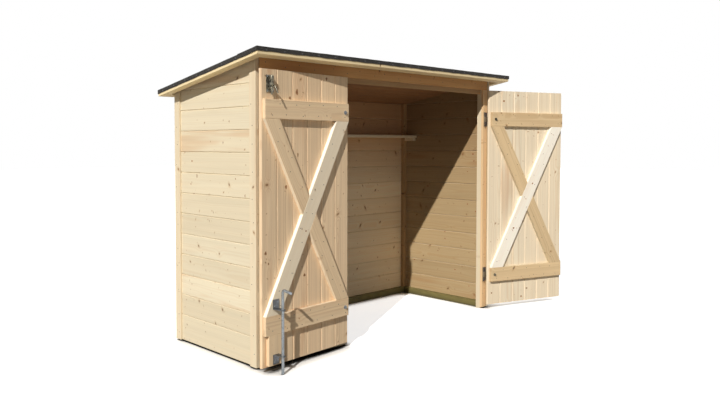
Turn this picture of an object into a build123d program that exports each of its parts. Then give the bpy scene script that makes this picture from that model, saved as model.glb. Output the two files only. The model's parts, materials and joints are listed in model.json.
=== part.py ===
"""Timber bike shelter with a felted pent roof and two braced plank doors, in millimetres.

The frame stands on the ground at Z = 0 with its front towards -Y and +X to the right.
The origin is on the ground under the middle of the back sill.
Both doors are modelled standing open, the left one almost flat against the fixed front panel.
"""

import os
from math import cos, radians, sin, tan

from build123d import *

# Overall sizes
width = 2098
depth = 790
roof_height = 1658
roof_pitch = 9.6
roof_overhang_front = 110
roof_overhang_back = 60
roof_overhang_side = 72

# Timber sections
board_thickness = 16
board_cover = 121
first_joint_height = 161
board_joint = 5
frame_depth = 34
post_width = 48
sill_height = 45
cladding_lap = 37
trim_thickness = 10
trim_width = 54
batten_depth = 28

# Roof covering
deck_thickness = 16
edge_batten_width = 54
edge_batten_thickness = 18
felt_thickness = 3
felt_fold = 23

# Doors
door_width = 671
door_thickness = 18
door_board_count = 6
door_ground_gap = 30
door_gap = 5
door_meeting_gap = 6
door_proud = 1
header_height = 60
left_door_angle = 175.5
right_door_angle = 162
stop_setback = 6
stop_height = 29

# Ledges and braces on the inner faces of the doors
ledge_height = 100
ledge_thickness = 22
ledge_free_inset = 10
ledge_hinge_inset = 16
ledge_below_top = 153
ledge_above_bottom = 165
brace_seat = 104

# Hinges
hinge_axis_height = 6
hinge_axis_setback = 12
hinge_plate_width = 32
hinge_plate_thickness = 3
hinge_knuckle_radius = 5.5
hinge_pin_radius = 3
hinge_pin_clearance = 0.3
hinge_outer_knuckle = 30
hinge_knuckle_gap = 1
hinge_notch_clearance = 1.5
strap_length = 320
strap_root_width = 36
strap_tip_width = 22
strap_thickness = 3

# Drop bolt
rod_radius = 7.5
rod_clearance = 0.5
rod_ground_gap = 2
rod_length = 441
rod_handle = 63
rod_handle_droop = 12
rod_bend_radius = 14
rod_from_free_edge = 79
rod_standoff = 52
packer_width = 102
packer_height = 157
packer_inset = 22
bracket_width = 40
bracket_plate_height = 50
bracket_thickness = 4
bracket_tip_radius = 15
upper_bracket_height = 329
lower_bracket_height = 91

# Top bolt
bolt_plate_width = 50
bolt_plate_height = 88
bolt_plate_thickness = 3
bolt_from_free_edge = 61
bolt_radius = 4.5
bolt_clearance = 0.5
bolt_standoff = 16
bolt_guide_width = 22
bolt_guide_height = 16
bolt_guide_inset = 8
bolt_length = 100
bolt_handle_radius = 4
bolt_handle_clearance = 5
bolt_handle_neck = 22
bolt_handle_reach = 46
bolt_handle_drop = 40
bolt_handle_bend = 10
bolt_below_stop = 6
keeper_clearance = 1.5

# Shelf
shelf_depth = 130
shelf_thickness = 18
shelf_headroom = 245
shelf_notch_clearance = 1
cleat_size = 24
cleat_setback = 12

# Cuts run past the faces that they open
overrun = 10

# Planes of the frame, from the middle of the back sill
half_width = width / 2
wall_outer = half_width - trim_thickness
wall_inner = wall_outer - board_thickness
back_inner = frame_depth / 2
back_outer = back_inner + board_thickness
front = back_outer - depth
front_frame = front + board_thickness
front_inner = front_frame + frame_depth
cladding_bottom = sill_height - cladding_lap
right_jamb = wall_inner - post_width
left_jamb = right_jamb - 2 * door_width - 2 * door_gap - door_meeting_gap
stop_front = front + door_thickness + stop_setback
board_joints = int((roof_height - first_joint_height) / board_cover) + 1
joint_heights = [first_joint_height + row * board_cover for row in range(board_joints)]

# The slope of the roof: heights are vertical, thicknesses are across the slope
slope = tan(radians(roof_pitch))
upright = cos(radians(roof_pitch))
roof_front = front - roof_overhang_front
roof_back = back_outer + roof_overhang_back
roof_side = half_width + roof_overhang_side
deck_drop = (felt_thickness + deck_thickness) / upright
felt_drop = felt_thickness / upright


def roof_z(y):
    """Height of the top of the felt above a line across the shelter."""
    return roof_height - slope * (y - roof_front)


roof_underside = Plane(
    origin=(0, front, roof_z(front) - deck_drop),
    x_dir=(1, 0, 0),
    z_dir=(0, sin(radians(roof_pitch)), cos(radians(roof_pitch))),
)

# Heights that hang from the roof
header_bottom = roof_z(front) - deck_drop - header_height
stop_bottom = header_bottom - stop_height
door_top = header_bottom - door_gap
door_bottom = door_ground_gap
door_height = door_top - door_bottom
shelf_height = roof_z(back_inner) - deck_drop - shelf_headroom


def board(x_from, x_to, y_from, y_to, z_from, z_to):
    """Add a square-edged piece of timber or metal to the part being built."""
    with Locations(((x_from + x_to) / 2, (y_from + y_to) / 2, (z_from + z_to) / 2)):
        Box(x_to - x_from, y_to - y_from, z_to - z_from)


def roof_band(y_from, y_to, below, height):
    """Corners of an upright band that follows the roof slope, below the top of the felt."""
    return [
        (y_from, roof_z(y_from) - below),
        (y_to, roof_z(y_to) - below),
        (y_to, roof_z(y_to) - below - height),
        (y_from, roof_z(y_from) - below - height),
    ]


def save(name, part):
    """Label a finished piece and write it to its own file."""
    part.label = name
    export_step(part, f"parts/{name}.step")


os.makedirs("parts", exist_ok=True)

# Base sills between the posts
for side, sign in (("left", -1), ("right", 1)):
    with BuildPart() as side_sill:
        board(
            *sorted((sign * wall_inner, sign * (wall_inner - frame_depth))),
            front_inner, -back_inner, 0, sill_height,
        )
    save(f"{side}_base_sill", side_sill.part)

with BuildPart() as back_sill:
    board(-wall_inner, wall_inner, -back_inner, back_inner, 0, sill_height)
save("back_base_sill", back_sill.part)

with BuildPart() as front_sill:
    board(
        post_width - wall_inner, left_jamb - post_width,
        front_frame, front_inner, 0, sill_height,
    )
save("front_base_sill", front_sill.part)

# Side walls of horizontal boards with V joints on both faces, cut to the roof slope
for side, sign in (("left", -1), ("right", 1)):
    with BuildPart() as side_wall:
        with BuildSketch(Plane.XZ.offset(-front)):
            with Locations((sign * (wall_inner + wall_outer) / 2, cladding_bottom)):
                Rectangle(board_thickness, roof_height, align=(Align.CENTER, Align.MIN))
            for face in (wall_inner, wall_outer):
                with Locations(*[(sign * face, height) for height in joint_heights]):
                    Rectangle(board_joint, board_joint, rotation=45, mode=Mode.SUBTRACT)
        extrude(amount=-depth)
        split(bisect_by=roof_underside, keep=Keep.BOTTOM)
    save(f"{side}_wall", side_wall.part)

# Corner trims on the outside of the side walls
for side, sign in (("left", -1), ("right", 1)):
    with BuildPart() as trims:
        trim_faces = sorted((sign * wall_outer, sign * half_width))
        board(*trim_faces, front, front + trim_width, cladding_bottom, roof_height)
        board(*trim_faces, back_outer - trim_width, back_outer, cladding_bottom, roof_height)
        split(bisect_by=roof_underside, keep=Keep.BOTTOM)
    save(f"{side}_wall_trims", trims.part)

# Back wall and fixed front panel, with the same boards at the same heights
with BuildPart() as back_wall:
    with BuildSketch(Plane.YZ.offset(-wall_inner)):
        with Locations(((back_inner + back_outer) / 2, cladding_bottom)):
            Rectangle(board_thickness, roof_height, align=(Align.CENTER, Align.MIN))
        for face in (back_inner, back_outer):
            with Locations(*[(face, height) for height in joint_heights]):
                Rectangle(board_joint, board_joint, rotation=45, mode=Mode.SUBTRACT)
    extrude(amount=2 * wall_inner)
    split(bisect_by=roof_underside, keep=Keep.BOTTOM)
save("back_wall", back_wall.part)

with BuildPart() as front_panel:
    with BuildSketch(Plane.YZ.offset(-wall_inner)):
        with Locations(((front + front_frame) / 2, cladding_bottom)):
            Rectangle(board_thickness, header_bottom - cladding_bottom, align=(Align.CENTER, Align.MIN))
        for face in (front, front_frame):
            with Locations(*[(face, height) for height in joint_heights if height < header_bottom]):
                Rectangle(board_joint, board_joint, rotation=45, mode=Mode.SUBTRACT)
    extrude(amount=wall_inner + left_jamb)
save("front_panel", front_panel.part)

# Front posts, header and door stop
for name, post_left in (
    ("left_front_post", -wall_inner),
    ("jamb_post", left_jamb - post_width),
    ("right_front_post", right_jamb),
):
    with BuildPart() as post:
        board(post_left, post_left + post_width, front_frame, front_inner, 0, header_bottom)
    save(name, post.part)

with BuildPart() as post_board:
    board(right_jamb, wall_inner, front, front_frame, cladding_bottom, header_bottom)
save("right_post_board", post_board.part)

with BuildPart() as header_beam:
    board(-wall_inner, wall_inner, front_frame, front_inner, header_bottom, roof_height)
    split(bisect_by=roof_underside, keep=Keep.BOTTOM)
save("header_beam", header_beam.part)

with BuildPart() as header_board:
    board(-wall_inner, wall_inner, front, front_frame, header_bottom, roof_height)
    split(bisect_by=roof_underside, keep=Keep.BOTTOM)
save("header_board", header_board.part)

bolt_closed_x = left_jamb + door_gap + door_width - bolt_from_free_edge
bolt_closed_y = front - door_proud + door_thickness + bolt_standoff
with BuildPart() as door_stop:
    board(left_jamb, right_jamb, stop_front, front_inner, stop_bottom, header_bottom)
    with Locations((bolt_closed_x, bolt_closed_y, header_bottom)):
        Hole(radius=bolt_radius + keeper_clearance)
save("door_stop", door_stop.part)

# Battens in the back corners, standing on the back sill
with BuildPart() as corner_battens:
    for sign in (-1, 1):
        board(
            *sorted((sign * wall_inner, sign * (wall_inner - frame_depth))),
            back_inner - batten_depth, back_inner, sill_height, roof_height,
        )
    split(bisect_by=roof_underside, keep=Keep.BOTTOM)
save("back_corner_battens", corner_battens.part)

# Roof deck, with flat battens under its edges
with BuildPart() as roof_deck:
    with BuildSketch(Plane.YZ.offset(-roof_side)):
        Polygon(*roof_band(roof_front, roof_back, felt_drop, deck_drop - felt_drop), align=None)
    extrude(amount=2 * roof_side)
save("roof_deck", roof_deck.part)

edge_batten_height = edge_batten_thickness / upright
for name, batten_from, batten_to in (
    ("roof_front_edge", roof_front, roof_front + edge_batten_width),
    ("roof_back_edge", roof_back - edge_batten_width, roof_back),
):
    with BuildPart() as cross_edge:
        with BuildSketch(Plane.YZ.offset(-roof_side)):
            Polygon(*roof_band(batten_from, batten_to, deck_drop, edge_batten_height), align=None)
        extrude(amount=2 * roof_side)
    save(name, cross_edge.part)

for name, batten_left in (("roof_left_edge", -roof_side), ("roof_right_edge", roof_side - edge_batten_width)):
    with BuildPart() as side_edge:
        with BuildSketch(Plane.YZ.offset(batten_left)):
            Polygon(
                *roof_band(
                    roof_front + edge_batten_width, roof_back - edge_batten_width, deck_drop, edge_batten_height
                ),
                align=None,
            )
        extrude(amount=edge_batten_width)
    save(name, side_edge.part)

# Felt over the deck, folded down over the edges
felt_side = roof_side + felt_thickness
with BuildPart() as felt:
    with BuildSketch(Plane.YZ.offset(-felt_side)):
        Polygon(
            *roof_band(roof_front - felt_thickness, roof_back + felt_thickness, 0, felt_drop + felt_fold),
            align=None,
        )
    extrude(amount=2 * felt_side)
    with BuildSketch(Plane.YZ.offset(-roof_side)):
        Polygon(*roof_band(roof_front, roof_back, felt_drop, felt_fold + overrun), align=None)
    extrude(amount=2 * roof_side, mode=Mode.SUBTRACT)
save("roofing_felt", felt.part)

# Shelf along the back wall, notched round the battens, on a cleat at each end
shelf_front = back_inner - shelf_depth
shelf_bottom = shelf_height - shelf_thickness
notch_width = frame_depth + shelf_notch_clearance
notch_front = back_inner - batten_depth - shelf_notch_clearance
with BuildPart() as shelf:
    board(-wall_inner, wall_inner, shelf_front, back_inner, shelf_bottom, shelf_height)
    with BuildSketch(Plane.XY.offset(shelf_bottom)):
        for sign in (-1, 1):
            with Locations((sign * (wall_inner - notch_width / 2), (notch_front + back_inner) / 2)):
                Rectangle(notch_width, back_inner - notch_front)
    extrude(amount=shelf_thickness, mode=Mode.SUBTRACT)
save("shelf", shelf.part)

with BuildPart() as cleats:
    for sign in (-1, 1):
        board(
            *sorted((sign * wall_inner, sign * (wall_inner - cleat_size))),
            shelf_front + cleat_setback, back_inner - batten_depth,
            shelf_bottom - cleat_size, shelf_bottom,
        )
save("shelf_cleats", cleats.part)

# Each door turns about a pin in front of the frame; u runs from the pin along the door
door_edge = hinge_axis_setback + door_gap
door_free = door_edge + door_width
door_outer = hinge_axis_height - door_proud
door_inner = door_outer + door_thickness
ledge_hinge_end = door_edge + ledge_hinge_inset
ledge_free_end = door_free - ledge_free_inset
ledge_middle = (ledge_hinge_end + ledge_free_end) / 2
ledge_face = door_inner + ledge_thickness
upper_ledge_bottom = door_top - ledge_below_top - ledge_height
lower_ledge_bottom = door_bottom + ledge_above_bottom
lower_ledge_top = lower_ledge_bottom + ledge_height
hinge_heights = (lower_ledge_bottom + ledge_height / 2, upper_ledge_bottom + ledge_height / 2)
door_board = door_width / door_board_count
hinge_half_height = strap_root_width / 2 + hinge_knuckle_gap + hinge_outer_knuckle
hinge_notch = strap_root_width / 2 + hinge_knuckle_gap

for side, sign, pin_x, turn in (
    ("left", 1, left_jamb - hinge_axis_setback, -left_door_angle),
    ("right", -1, right_jamb + hinge_axis_setback, right_door_angle),
):
    pin = (pin_x, front - hinge_axis_height, 0)
    frame_plane = Plane(origin=pin)
    frame_face = Plane(origin=pin, x_dir=(1, 0, 0), z_dir=(0, 1, 0))
    door_plane = Plane(origin=pin, x_dir=(cos(radians(turn)), sin(radians(turn)), 0))
    door_face = Plane(origin=pin, x_dir=door_plane.x_dir, z_dir=door_plane.y_dir)

    # Upright boards with V joints on both faces
    with BuildPart() as door_boards:
        with BuildSketch(door_plane.offset(door_bottom)):
            with Locations((sign * (door_edge + door_free) / 2, (door_outer + door_inner) / 2)):
                Rectangle(door_width, door_thickness)
            for face in (door_outer, door_inner):
                with Locations(
                    *[(sign * (door_edge + row * door_board), face) for row in range(1, door_board_count)]
                ):
                    Rectangle(board_joint, board_joint, rotation=45, mode=Mode.SUBTRACT)
        extrude(amount=door_height)
    save(f"{side}_door_boards", door_boards.part)

    # The face plane looks inwards with its own Y axis pointing down, so heights are negative there
    with BuildPart() as ledges:
        with BuildSketch(door_face.offset(door_inner)):
            with Locations(
                (sign * ledge_middle, -lower_ledge_bottom - ledge_height / 2),
                (sign * ledge_middle, -upper_ledge_bottom - ledge_height / 2),
            ):
                Rectangle(ledge_free_end - ledge_hinge_end, ledge_height)
        extrude(amount=ledge_thickness)
    save(f"{side}_door_ledges", ledges.part)

    rising_brace = [
        (sign * ledge_free_end, -lower_ledge_top),
        (sign * (ledge_free_end - brace_seat), -lower_ledge_top),
        (sign * ledge_hinge_end, -upper_ledge_bottom),
        (sign * (ledge_hinge_end + brace_seat), -upper_ledge_bottom),
    ]
    falling_brace = [
        (sign * ledge_hinge_end, -lower_ledge_top),
        (sign * (ledge_hinge_end + brace_seat), -lower_ledge_top),
        (sign * ledge_free_end, -upper_ledge_bottom),
        (sign * (ledge_free_end - brace_seat), -upper_ledge_bottom),
    ]
    long_brace, short_brace = (rising_brace, falling_brace) if side == "left" else (falling_brace, rising_brace)
    with BuildPart() as brace:
        with BuildSketch(door_face.offset(door_inner)):
            Polygon(*long_brace, align=None)
        extrude(amount=ledge_thickness)
    save(f"{side}_door_long_brace", brace.part)

    with BuildPart() as half_braces:
        with BuildSketch(door_face.offset(door_inner)):
            Polygon(*short_brace, align=None)
            Polygon(*long_brace, align=None, mode=Mode.SUBTRACT)
        extrude(amount=ledge_thickness)
    save(f"{side}_door_half_braces", half_braces.part)

    # T-hinges: plate, outer knuckles and pin on the frame, tapered strap and middle knuckle on the door
    with BuildPart() as hinge_plates:
        for height in hinge_heights:
            with BuildSketch(frame_face.offset(hinge_axis_height - hinge_plate_thickness)):
                with Locations((-sign * hinge_plate_width / 2, -height)):
                    Rectangle(hinge_plate_width, 2 * hinge_half_height)
                with Locations((0, -height)):
                    Rectangle(
                        2 * (hinge_knuckle_radius + hinge_notch_clearance), 2 * hinge_notch, mode=Mode.SUBTRACT
                    )
            extrude(amount=hinge_plate_thickness)
            with BuildSketch(frame_plane.offset(height - hinge_half_height)):
                Circle(hinge_knuckle_radius)
            extrude(amount=hinge_outer_knuckle)
            with BuildSketch(frame_plane.offset(height + hinge_notch)):
                Circle(hinge_knuckle_radius)
            extrude(amount=hinge_outer_knuckle)
            with BuildSketch(frame_plane.offset(height - hinge_half_height)):
                Circle(hinge_pin_radius)
            extrude(amount=2 * hinge_half_height)
    save(f"{side}_hinge_plates", hinge_plates.part)

    with BuildPart() as straps:
        for height in hinge_heights:
            with BuildSketch(door_face.offset(door_outer - strap_thickness)):
                with BuildLine():
                    Polyline(
                        (sign * (strap_length - strap_tip_width / 2), -height - strap_tip_width / 2),
                        (0, -height - strap_root_width / 2),
                        (0, -height + strap_root_width / 2),
                        (sign * (strap_length - strap_tip_width / 2), -height + strap_tip_width / 2),
                    )
                    ThreePointArc(
                        (sign * (strap_length - strap_tip_width / 2), -height + strap_tip_width / 2),
                        (sign * strap_length, -height),
                        (sign * (strap_length - strap_tip_width / 2), -height - strap_tip_width / 2),
                    )
                make_face()
            extrude(amount=strap_thickness, dir=door_face.z_dir)
            with BuildSketch(door_plane.offset(height - strap_root_width / 2)):
                Circle(hinge_knuckle_radius)
            extrude(amount=strap_root_width)
            with BuildSketch(door_plane.offset(height - strap_root_width / 2)):
                Circle(hinge_pin_radius + hinge_pin_clearance)
            extrude(amount=strap_root_width, mode=Mode.SUBTRACT)
    save(f"{side}_door_straps", straps.part)

    if side == "left":
        bolt_door_plane = door_plane
        bolt_door_face = door_face

# Packer that brings the lower bracket level with the brace
rod_u = door_free - rod_from_free_edge
rod_depth = ledge_face + rod_standoff
with BuildPart() as packer:
    with BuildSketch(bolt_door_face.offset(door_inner)):
        with Locations(
            (ledge_free_end - packer_inset - packer_width / 2, -lower_ledge_bottom + packer_height / 2)
        ):
            Rectangle(packer_width, packer_height)
    extrude(amount=ledge_thickness)
save("drop_bolt_packer", packer.part)

# Drop-bolt brackets: a screwed plate and a tapered tab with a rounded end that guides the rod
with BuildPart() as brackets:
    for tab_bottom, plate_bottom in (
        (upper_bracket_height, upper_bracket_height),
        (lower_bracket_height, lower_bracket_height + bracket_thickness - bracket_plate_height),
    ):
        with BuildSketch(bolt_door_face.offset(ledge_face)):
            with Locations((rod_u, -plate_bottom - bracket_plate_height / 2)):
                Rectangle(bracket_width, bracket_plate_height)
        extrude(amount=bracket_thickness)
        with BuildSketch(bolt_door_plane.offset(tab_bottom)):
            with BuildLine():
                Polyline(
                    (rod_u - bracket_tip_radius, rod_depth),
                    (rod_u - bracket_width / 2, ledge_face),
                    (rod_u + bracket_width / 2, ledge_face),
                    (rod_u + bracket_tip_radius, rod_depth),
                )
                ThreePointArc(
                    (rod_u + bracket_tip_radius, rod_depth),
                    (rod_u, rod_depth + bracket_tip_radius),
                    (rod_u - bracket_tip_radius, rod_depth),
                )
            make_face()
            with Locations((rod_u, rod_depth)):
                Circle(rod_radius + rod_clearance, mode=Mode.SUBTRACT)
        extrude(amount=bracket_thickness)
save("drop_bolt_brackets", brackets.part)

# Drop bolt: one round bar with its top bent over into a handle that droops a little
rod_plane = Plane(
    origin=bolt_door_plane.from_local_coords((rod_u, rod_depth, 0)),
    x_dir=bolt_door_plane.y_dir,
    z_dir=bolt_door_plane.x_dir,
)
rod_top = rod_ground_gap + rod_length
with BuildPart() as drop_bolt:
    with BuildLine(rod_plane):
        FilletPolyline(
            (0, rod_ground_gap),
            (0, rod_top - rod_radius),
            (rod_handle, rod_top - rod_radius - rod_handle_droop),
            radius=rod_bend_radius,
        )
    with BuildSketch(bolt_door_plane.offset(rod_ground_gap)):
        with Locations((rod_u, rod_depth)):
            Circle(rod_radius)
    sweep()
save("drop_bolt", drop_bolt.part)

# Top bolt: plate with two guides, and the round bolt with a bent handle that slides up into the door stop
bolt_u = door_free - bolt_from_free_edge
bolt_depth = door_inner + bolt_standoff
bolt_plate_top = stop_bottom - bolt_below_stop
bolt_plate_bottom = bolt_plate_top - bolt_plate_height
guide_bottoms = (
    bolt_plate_bottom + bolt_guide_inset,
    bolt_plate_top - bolt_guide_inset - bolt_guide_height,
)
with BuildPart() as bolt_plate:
    with BuildSketch(bolt_door_face.offset(door_inner)):
        with Locations((bolt_u, -bolt_plate_bottom - bolt_plate_height / 2)):
            Rectangle(bolt_plate_width, bolt_plate_height)
    extrude(amount=bolt_plate_thickness)
    for guide_bottom in guide_bottoms:
        with BuildSketch(bolt_door_plane.offset(guide_bottom)):
            with Locations((bolt_u, (door_inner + bolt_depth) / 2)):
                Rectangle(bolt_guide_width, bolt_standoff)
            with Locations((bolt_u, bolt_depth)):
                Circle(bolt_guide_width / 2)
                Circle(bolt_radius + bolt_clearance, mode=Mode.SUBTRACT)
        extrude(amount=bolt_guide_height)
save("top_bolt_plate", bolt_plate.part)

bolt_top = bolt_plate_top
bolt_bottom = bolt_top - bolt_length
handle_root = guide_bottoms[0] + bolt_guide_height + bolt_handle_clearance + bolt_handle_radius
handle_plane = Plane(
    origin=bolt_door_plane.from_local_coords((bolt_u, bolt_depth, handle_root)),
    x_dir=bolt_door_plane.y_dir,
    z_dir=bolt_door_plane.x_dir,
)
with BuildPart() as top_bolt:
    with BuildSketch(bolt_door_plane.offset(bolt_bottom)):
        with Locations((bolt_u, bolt_depth)):
            Circle(bolt_radius)
    extrude(amount=bolt_length)
    with BuildLine(handle_plane):
        FilletPolyline(
            (0, 0), (bolt_handle_neck, 0), (bolt_handle_reach, -bolt_handle_drop), radius=bolt_handle_bend
        )
    with BuildSketch(bolt_door_face.offset(bolt_depth)):
        with Locations((bolt_u, -handle_root)):
            Circle(bolt_handle_radius)
    sweep()
save("top_bolt", top_bolt.part)
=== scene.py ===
# %% [markdown]
# # A timber bike shelter
# The real shelter is a low shed of planed spruce boards with a felted pent roof and two braced plank doors.
# Its solids are already built, so they could simply be given materials and left as they are.
# Here the boards are modelled again one by one at the same places, because real joints, eased edges, nails
# and folded felt catch the light in a way that a flat slab never does.

# %% Load the solids
import json
import math
import random

import bmesh
import bpy
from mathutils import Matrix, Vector


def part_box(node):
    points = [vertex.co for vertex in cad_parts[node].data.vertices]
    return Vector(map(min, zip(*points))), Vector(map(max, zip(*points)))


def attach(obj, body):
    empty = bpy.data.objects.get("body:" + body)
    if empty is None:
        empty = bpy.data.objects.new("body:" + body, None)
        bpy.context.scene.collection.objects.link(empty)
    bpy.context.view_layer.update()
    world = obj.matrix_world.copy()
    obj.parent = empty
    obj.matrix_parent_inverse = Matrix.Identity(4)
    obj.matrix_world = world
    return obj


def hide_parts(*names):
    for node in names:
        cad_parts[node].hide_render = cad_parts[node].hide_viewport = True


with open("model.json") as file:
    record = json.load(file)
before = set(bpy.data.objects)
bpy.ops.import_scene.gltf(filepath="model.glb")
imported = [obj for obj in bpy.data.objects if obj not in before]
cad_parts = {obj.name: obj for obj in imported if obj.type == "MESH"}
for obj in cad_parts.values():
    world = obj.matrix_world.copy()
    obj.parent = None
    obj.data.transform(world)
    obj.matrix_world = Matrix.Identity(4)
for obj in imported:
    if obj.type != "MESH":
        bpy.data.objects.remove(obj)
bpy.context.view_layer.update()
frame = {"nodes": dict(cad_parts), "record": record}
body_of = {node: body for body, nodes in frame["record"]["behaviour"]["bodies"].items() for node in nodes}
bpy.context.scene.view_settings.view_transform = "Standard"

# %% [markdown]
# ## Viewpoint
# The shelter is looked at from its front left corner, from about the height of a person's chest.
# A camera can be aimed by eye, or worked out from the joints between the boards, which run level at one
# pitch. The second way is used, so the lens, the turn and the shift of the frame are plain numbers here.

# %% Camera
bpy.ops.object.select_all(action="DESELECT")
bpy.ops.object.camera_add(
    location=(-3.2521, -3.6373, 1.1691),
    rotation=(math.radians(87.924), 0, math.radians(-42.933)),
)
camera = bpy.context.object
camera.data.lens = 35.08
camera.data.shift_x = 0.0508
camera.data.shift_y = -0.0444
bpy.context.scene.camera = camera
print("camera at", tuple(camera.location))

# %% [markdown]
# ## Daylight
# The sun stands to the left of the front, about a third of the way up, and draws sharp shadows of the roof
# edge, the braces and the bolt. A sun lamp gives that, and an even pale sky fills the shadows.
# The back and the right side would be dull then, so a weak and very soft second lamp stands behind them.

# %% Lamps
def sun_lamp(name, path, energy, spread, colour):
    """Add a lamp that shines along a path, with a spread in degrees that softens its shadows."""
    path = Vector(path)
    turned = path.to_track_quat("-Z", "Y").to_euler()
    bpy.ops.object.light_add(type="SUN", location=-6 * path, rotation=turned)
    lamp = bpy.context.object
    lamp.name = name
    lamp.data.energy = energy
    lamp.data.angle = math.radians(spread)
    lamp.data.color = colour
    print(name, "strength", energy)


sun_lamp("sun", (0.728, 0.372, -0.577), energy=3.7, spread=0.6, colour=(1.0, 0.97, 0.91))
sun_lamp("soft_lamp_behind", (-0.52, -0.62, -0.59), energy=1.1, spread=50, colour=(1.0, 0.98, 0.95))

# %% [markdown]
# ## Small helpers for node trees
# A finish is a tree of nodes, and writing every link out by hand hides what the tree does.
# Short functions add a node, do a sum, stretch a pattern, mix two colours, turn a range of numbers into a
# share, and link what comes out to the shader.

# %% Node helpers
def add_node(tree, kind, sockets=None, **options):
    """Add one node, set its options, then fill its sockets from values or from other sockets."""
    made = tree.nodes.new("ShaderNode" + kind)
    for option, value in options.items():
        setattr(made, option, value)
    for name, value in (sockets or {}).items():
        socket = made.inputs[name]
        if isinstance(value, bpy.types.NodeSocket):
            tree.links.new(value, socket)
        elif socket.type == "RGBA":
            socket.default_value = (*value, 1)
        else:
            socket.default_value = value
    return made


def sum_of(tree, operation, first, second=0.0):
    """Do one sum with two numbers."""
    return add_node(tree, "Math", {0: first, 1: second}, operation=operation).outputs[0]


def vector_sum(tree, operation, first, second):
    """Do one sum with two vectors."""
    return add_node(tree, "VectorMath", {0: first, 1: second}, operation=operation).outputs["Vector"]


def stretch(tree, vector, by):
    """Scale a vector along each of its axes."""
    return vector_sum(tree, "MULTIPLY", vector, by)


def length_of(tree, vector):
    """Measure a vector."""
    return add_node(tree, "VectorMath", {0: vector}, operation="LENGTH").outputs["Value"]


def parts_of(tree, vector):
    """Part a vector into three numbers."""
    return add_node(tree, "SeparateXYZ", {0: vector}).outputs


def mix_colour(tree, share, first, second, how="MIX"):
    """Lay the second colour over the first, or multiply the first by it."""
    sockets = {0: share, 6: first, 7: second}
    return add_node(tree, "Mix", sockets, data_type="RGBA", blend_type=how).outputs[2]


def share_between(tree, value, low, high, at_low=0.0, at_high=1.0):
    """Turn a range of numbers into a smooth share."""
    sockets = {0: value, 1: low, 2: high, 3: at_low, 4: at_high}
    return add_node(tree, "MapRange", sockets, interpolation_type="SMOOTHSTEP").outputs[0]


def noise(tree, vector, detail=2.0, output="Fac"):
    """Cloudy numbers from 0 to 1 in the scale that the vector already has."""
    return add_node(tree, "TexNoise", {"Vector": vector, "Scale": 1.0, "Detail": detail}).outputs[output]


def bands(tree, place, detail):
    """Uneven bands along one number, such as growth rings."""
    sockets = {"W": place, "Scale": 1.0, "Detail": detail}
    return add_node(tree, "TexNoise", sockets, noise_dimensions="1D").outputs["Fac"]


def carried(tree, name, output="Vector"):
    """Read numbers that a mesh carries."""
    return add_node(tree, "Attribute", attribute_name=name).outputs[output]


def object_place(tree):
    """Where a point lies on the shelter."""
    return add_node(tree, "TexCoord").outputs["Object"]


def first_luck(tree, pattern):
    """One even number from 0 to 1 for each cell of a pattern."""
    return add_node(tree, "SeparateColor", {0: pattern.outputs["Color"]}).outputs[0]


print("node helpers ready")

# %% Starting and ending a finish
def new_finish(name):
    """Start a material and hand back its tree and its main shader."""
    finish = bpy.data.materials.new(name)
    finish.use_nodes = True
    return finish, finish.node_tree, finish.node_tree.nodes["Principled BSDF"]


def link_finish(tree, shader, colour, roughness, height, bump_strength, bump_depth):
    """Link a colour, a roughness and a bump to the main shader."""
    sockets = {"Strength": bump_strength, "Distance": bump_depth, "Height": height}
    bump = add_node(tree, "Bump", sockets)
    tree.links.new(colour, shader.inputs["Base Color"])
    tree.links.new(roughness, shader.inputs["Roughness"])
    tree.links.new(bump.outputs[0], shader.inputs["Normal"])


def seen_directly(tree):
    """One for rays from the camera or off a shiny or clear surface, nothing for light that bounces about."""
    rays = add_node(tree, "LightPath").outputs
    mirrored = sum_of(tree, "MAXIMUM", rays["Is Glossy Ray"], rays["Is Transmission Ray"])
    return sum_of(tree, "MAXIMUM", rays["Is Camera Ray"], mirrored)


print("finish helpers ready")

# %% [markdown]
# ## Sky and floor
# The shelter stands on plain white ground. More light on the floor would bleach the wood as well, so the
# floor and the sky are white only for rays that are seen directly, and stay modest for the light that they
# throw back. The floor's colour darkens where something stands close over it, as under the doors: that is
# painted shade.

# %% Sky
sky = bpy.data.worlds.new("sky")
bpy.context.scene.world = sky
sky.use_nodes = True
tree = sky.node_tree
tree.nodes.clear()
fill = add_node(tree, "Background", {"Color": (0.93, 0.965, 1.0), "Strength": 0.15})
white = add_node(tree, "Background", {"Color": (1, 1, 1), "Strength": 1.0})
both = add_node(tree, "MixShader", {0: seen_directly(tree), 1: fill.outputs[0], 2: white.outputs[0]})
add_node(tree, "OutputWorld", {"Surface": both.outputs[0]})
print("sky fill", fill.inputs["Strength"].default_value)

# %% Floor
bpy.ops.mesh.primitive_plane_add(size=60, location=(0, 0, 0))
floor = bpy.context.object
floor.name = "floor"
floor_finish, tree, shader = new_finish("white_ground")
tree.nodes.remove(shader)
bounce = add_node(tree, "BsdfDiffuse", {"Color": (0.27, 0.247, 0.215)})
# Painted shade: the floor's colour and glow fall away where something stands close over it
under = add_node(tree, "AmbientOcclusion", {"Distance": 0.16}).outputs["AO"]
ground = add_node(tree, "BsdfDiffuse", {"Color": share_between(tree, under, 0.34, 0.56, 0.02, 0.97)})
glow = add_node(tree, "Emission", {"Strength": share_between(tree, under, 0.62, 0.90, 0.0, 0.74)})
pale = add_node(tree, "AddShader", {0: ground.outputs[0], 1: glow.outputs[0]})
both = add_node(tree, "MixShader", {0: seen_directly(tree), 1: bounce.outputs[0], 2: pale.outputs[0]})
tree.links.new(both.outputs[0], tree.nodes["Material Output"].inputs["Surface"])
floor.data.materials.append(floor_finish)
print("floor of", floor.dimensions.x, "m")

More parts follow.
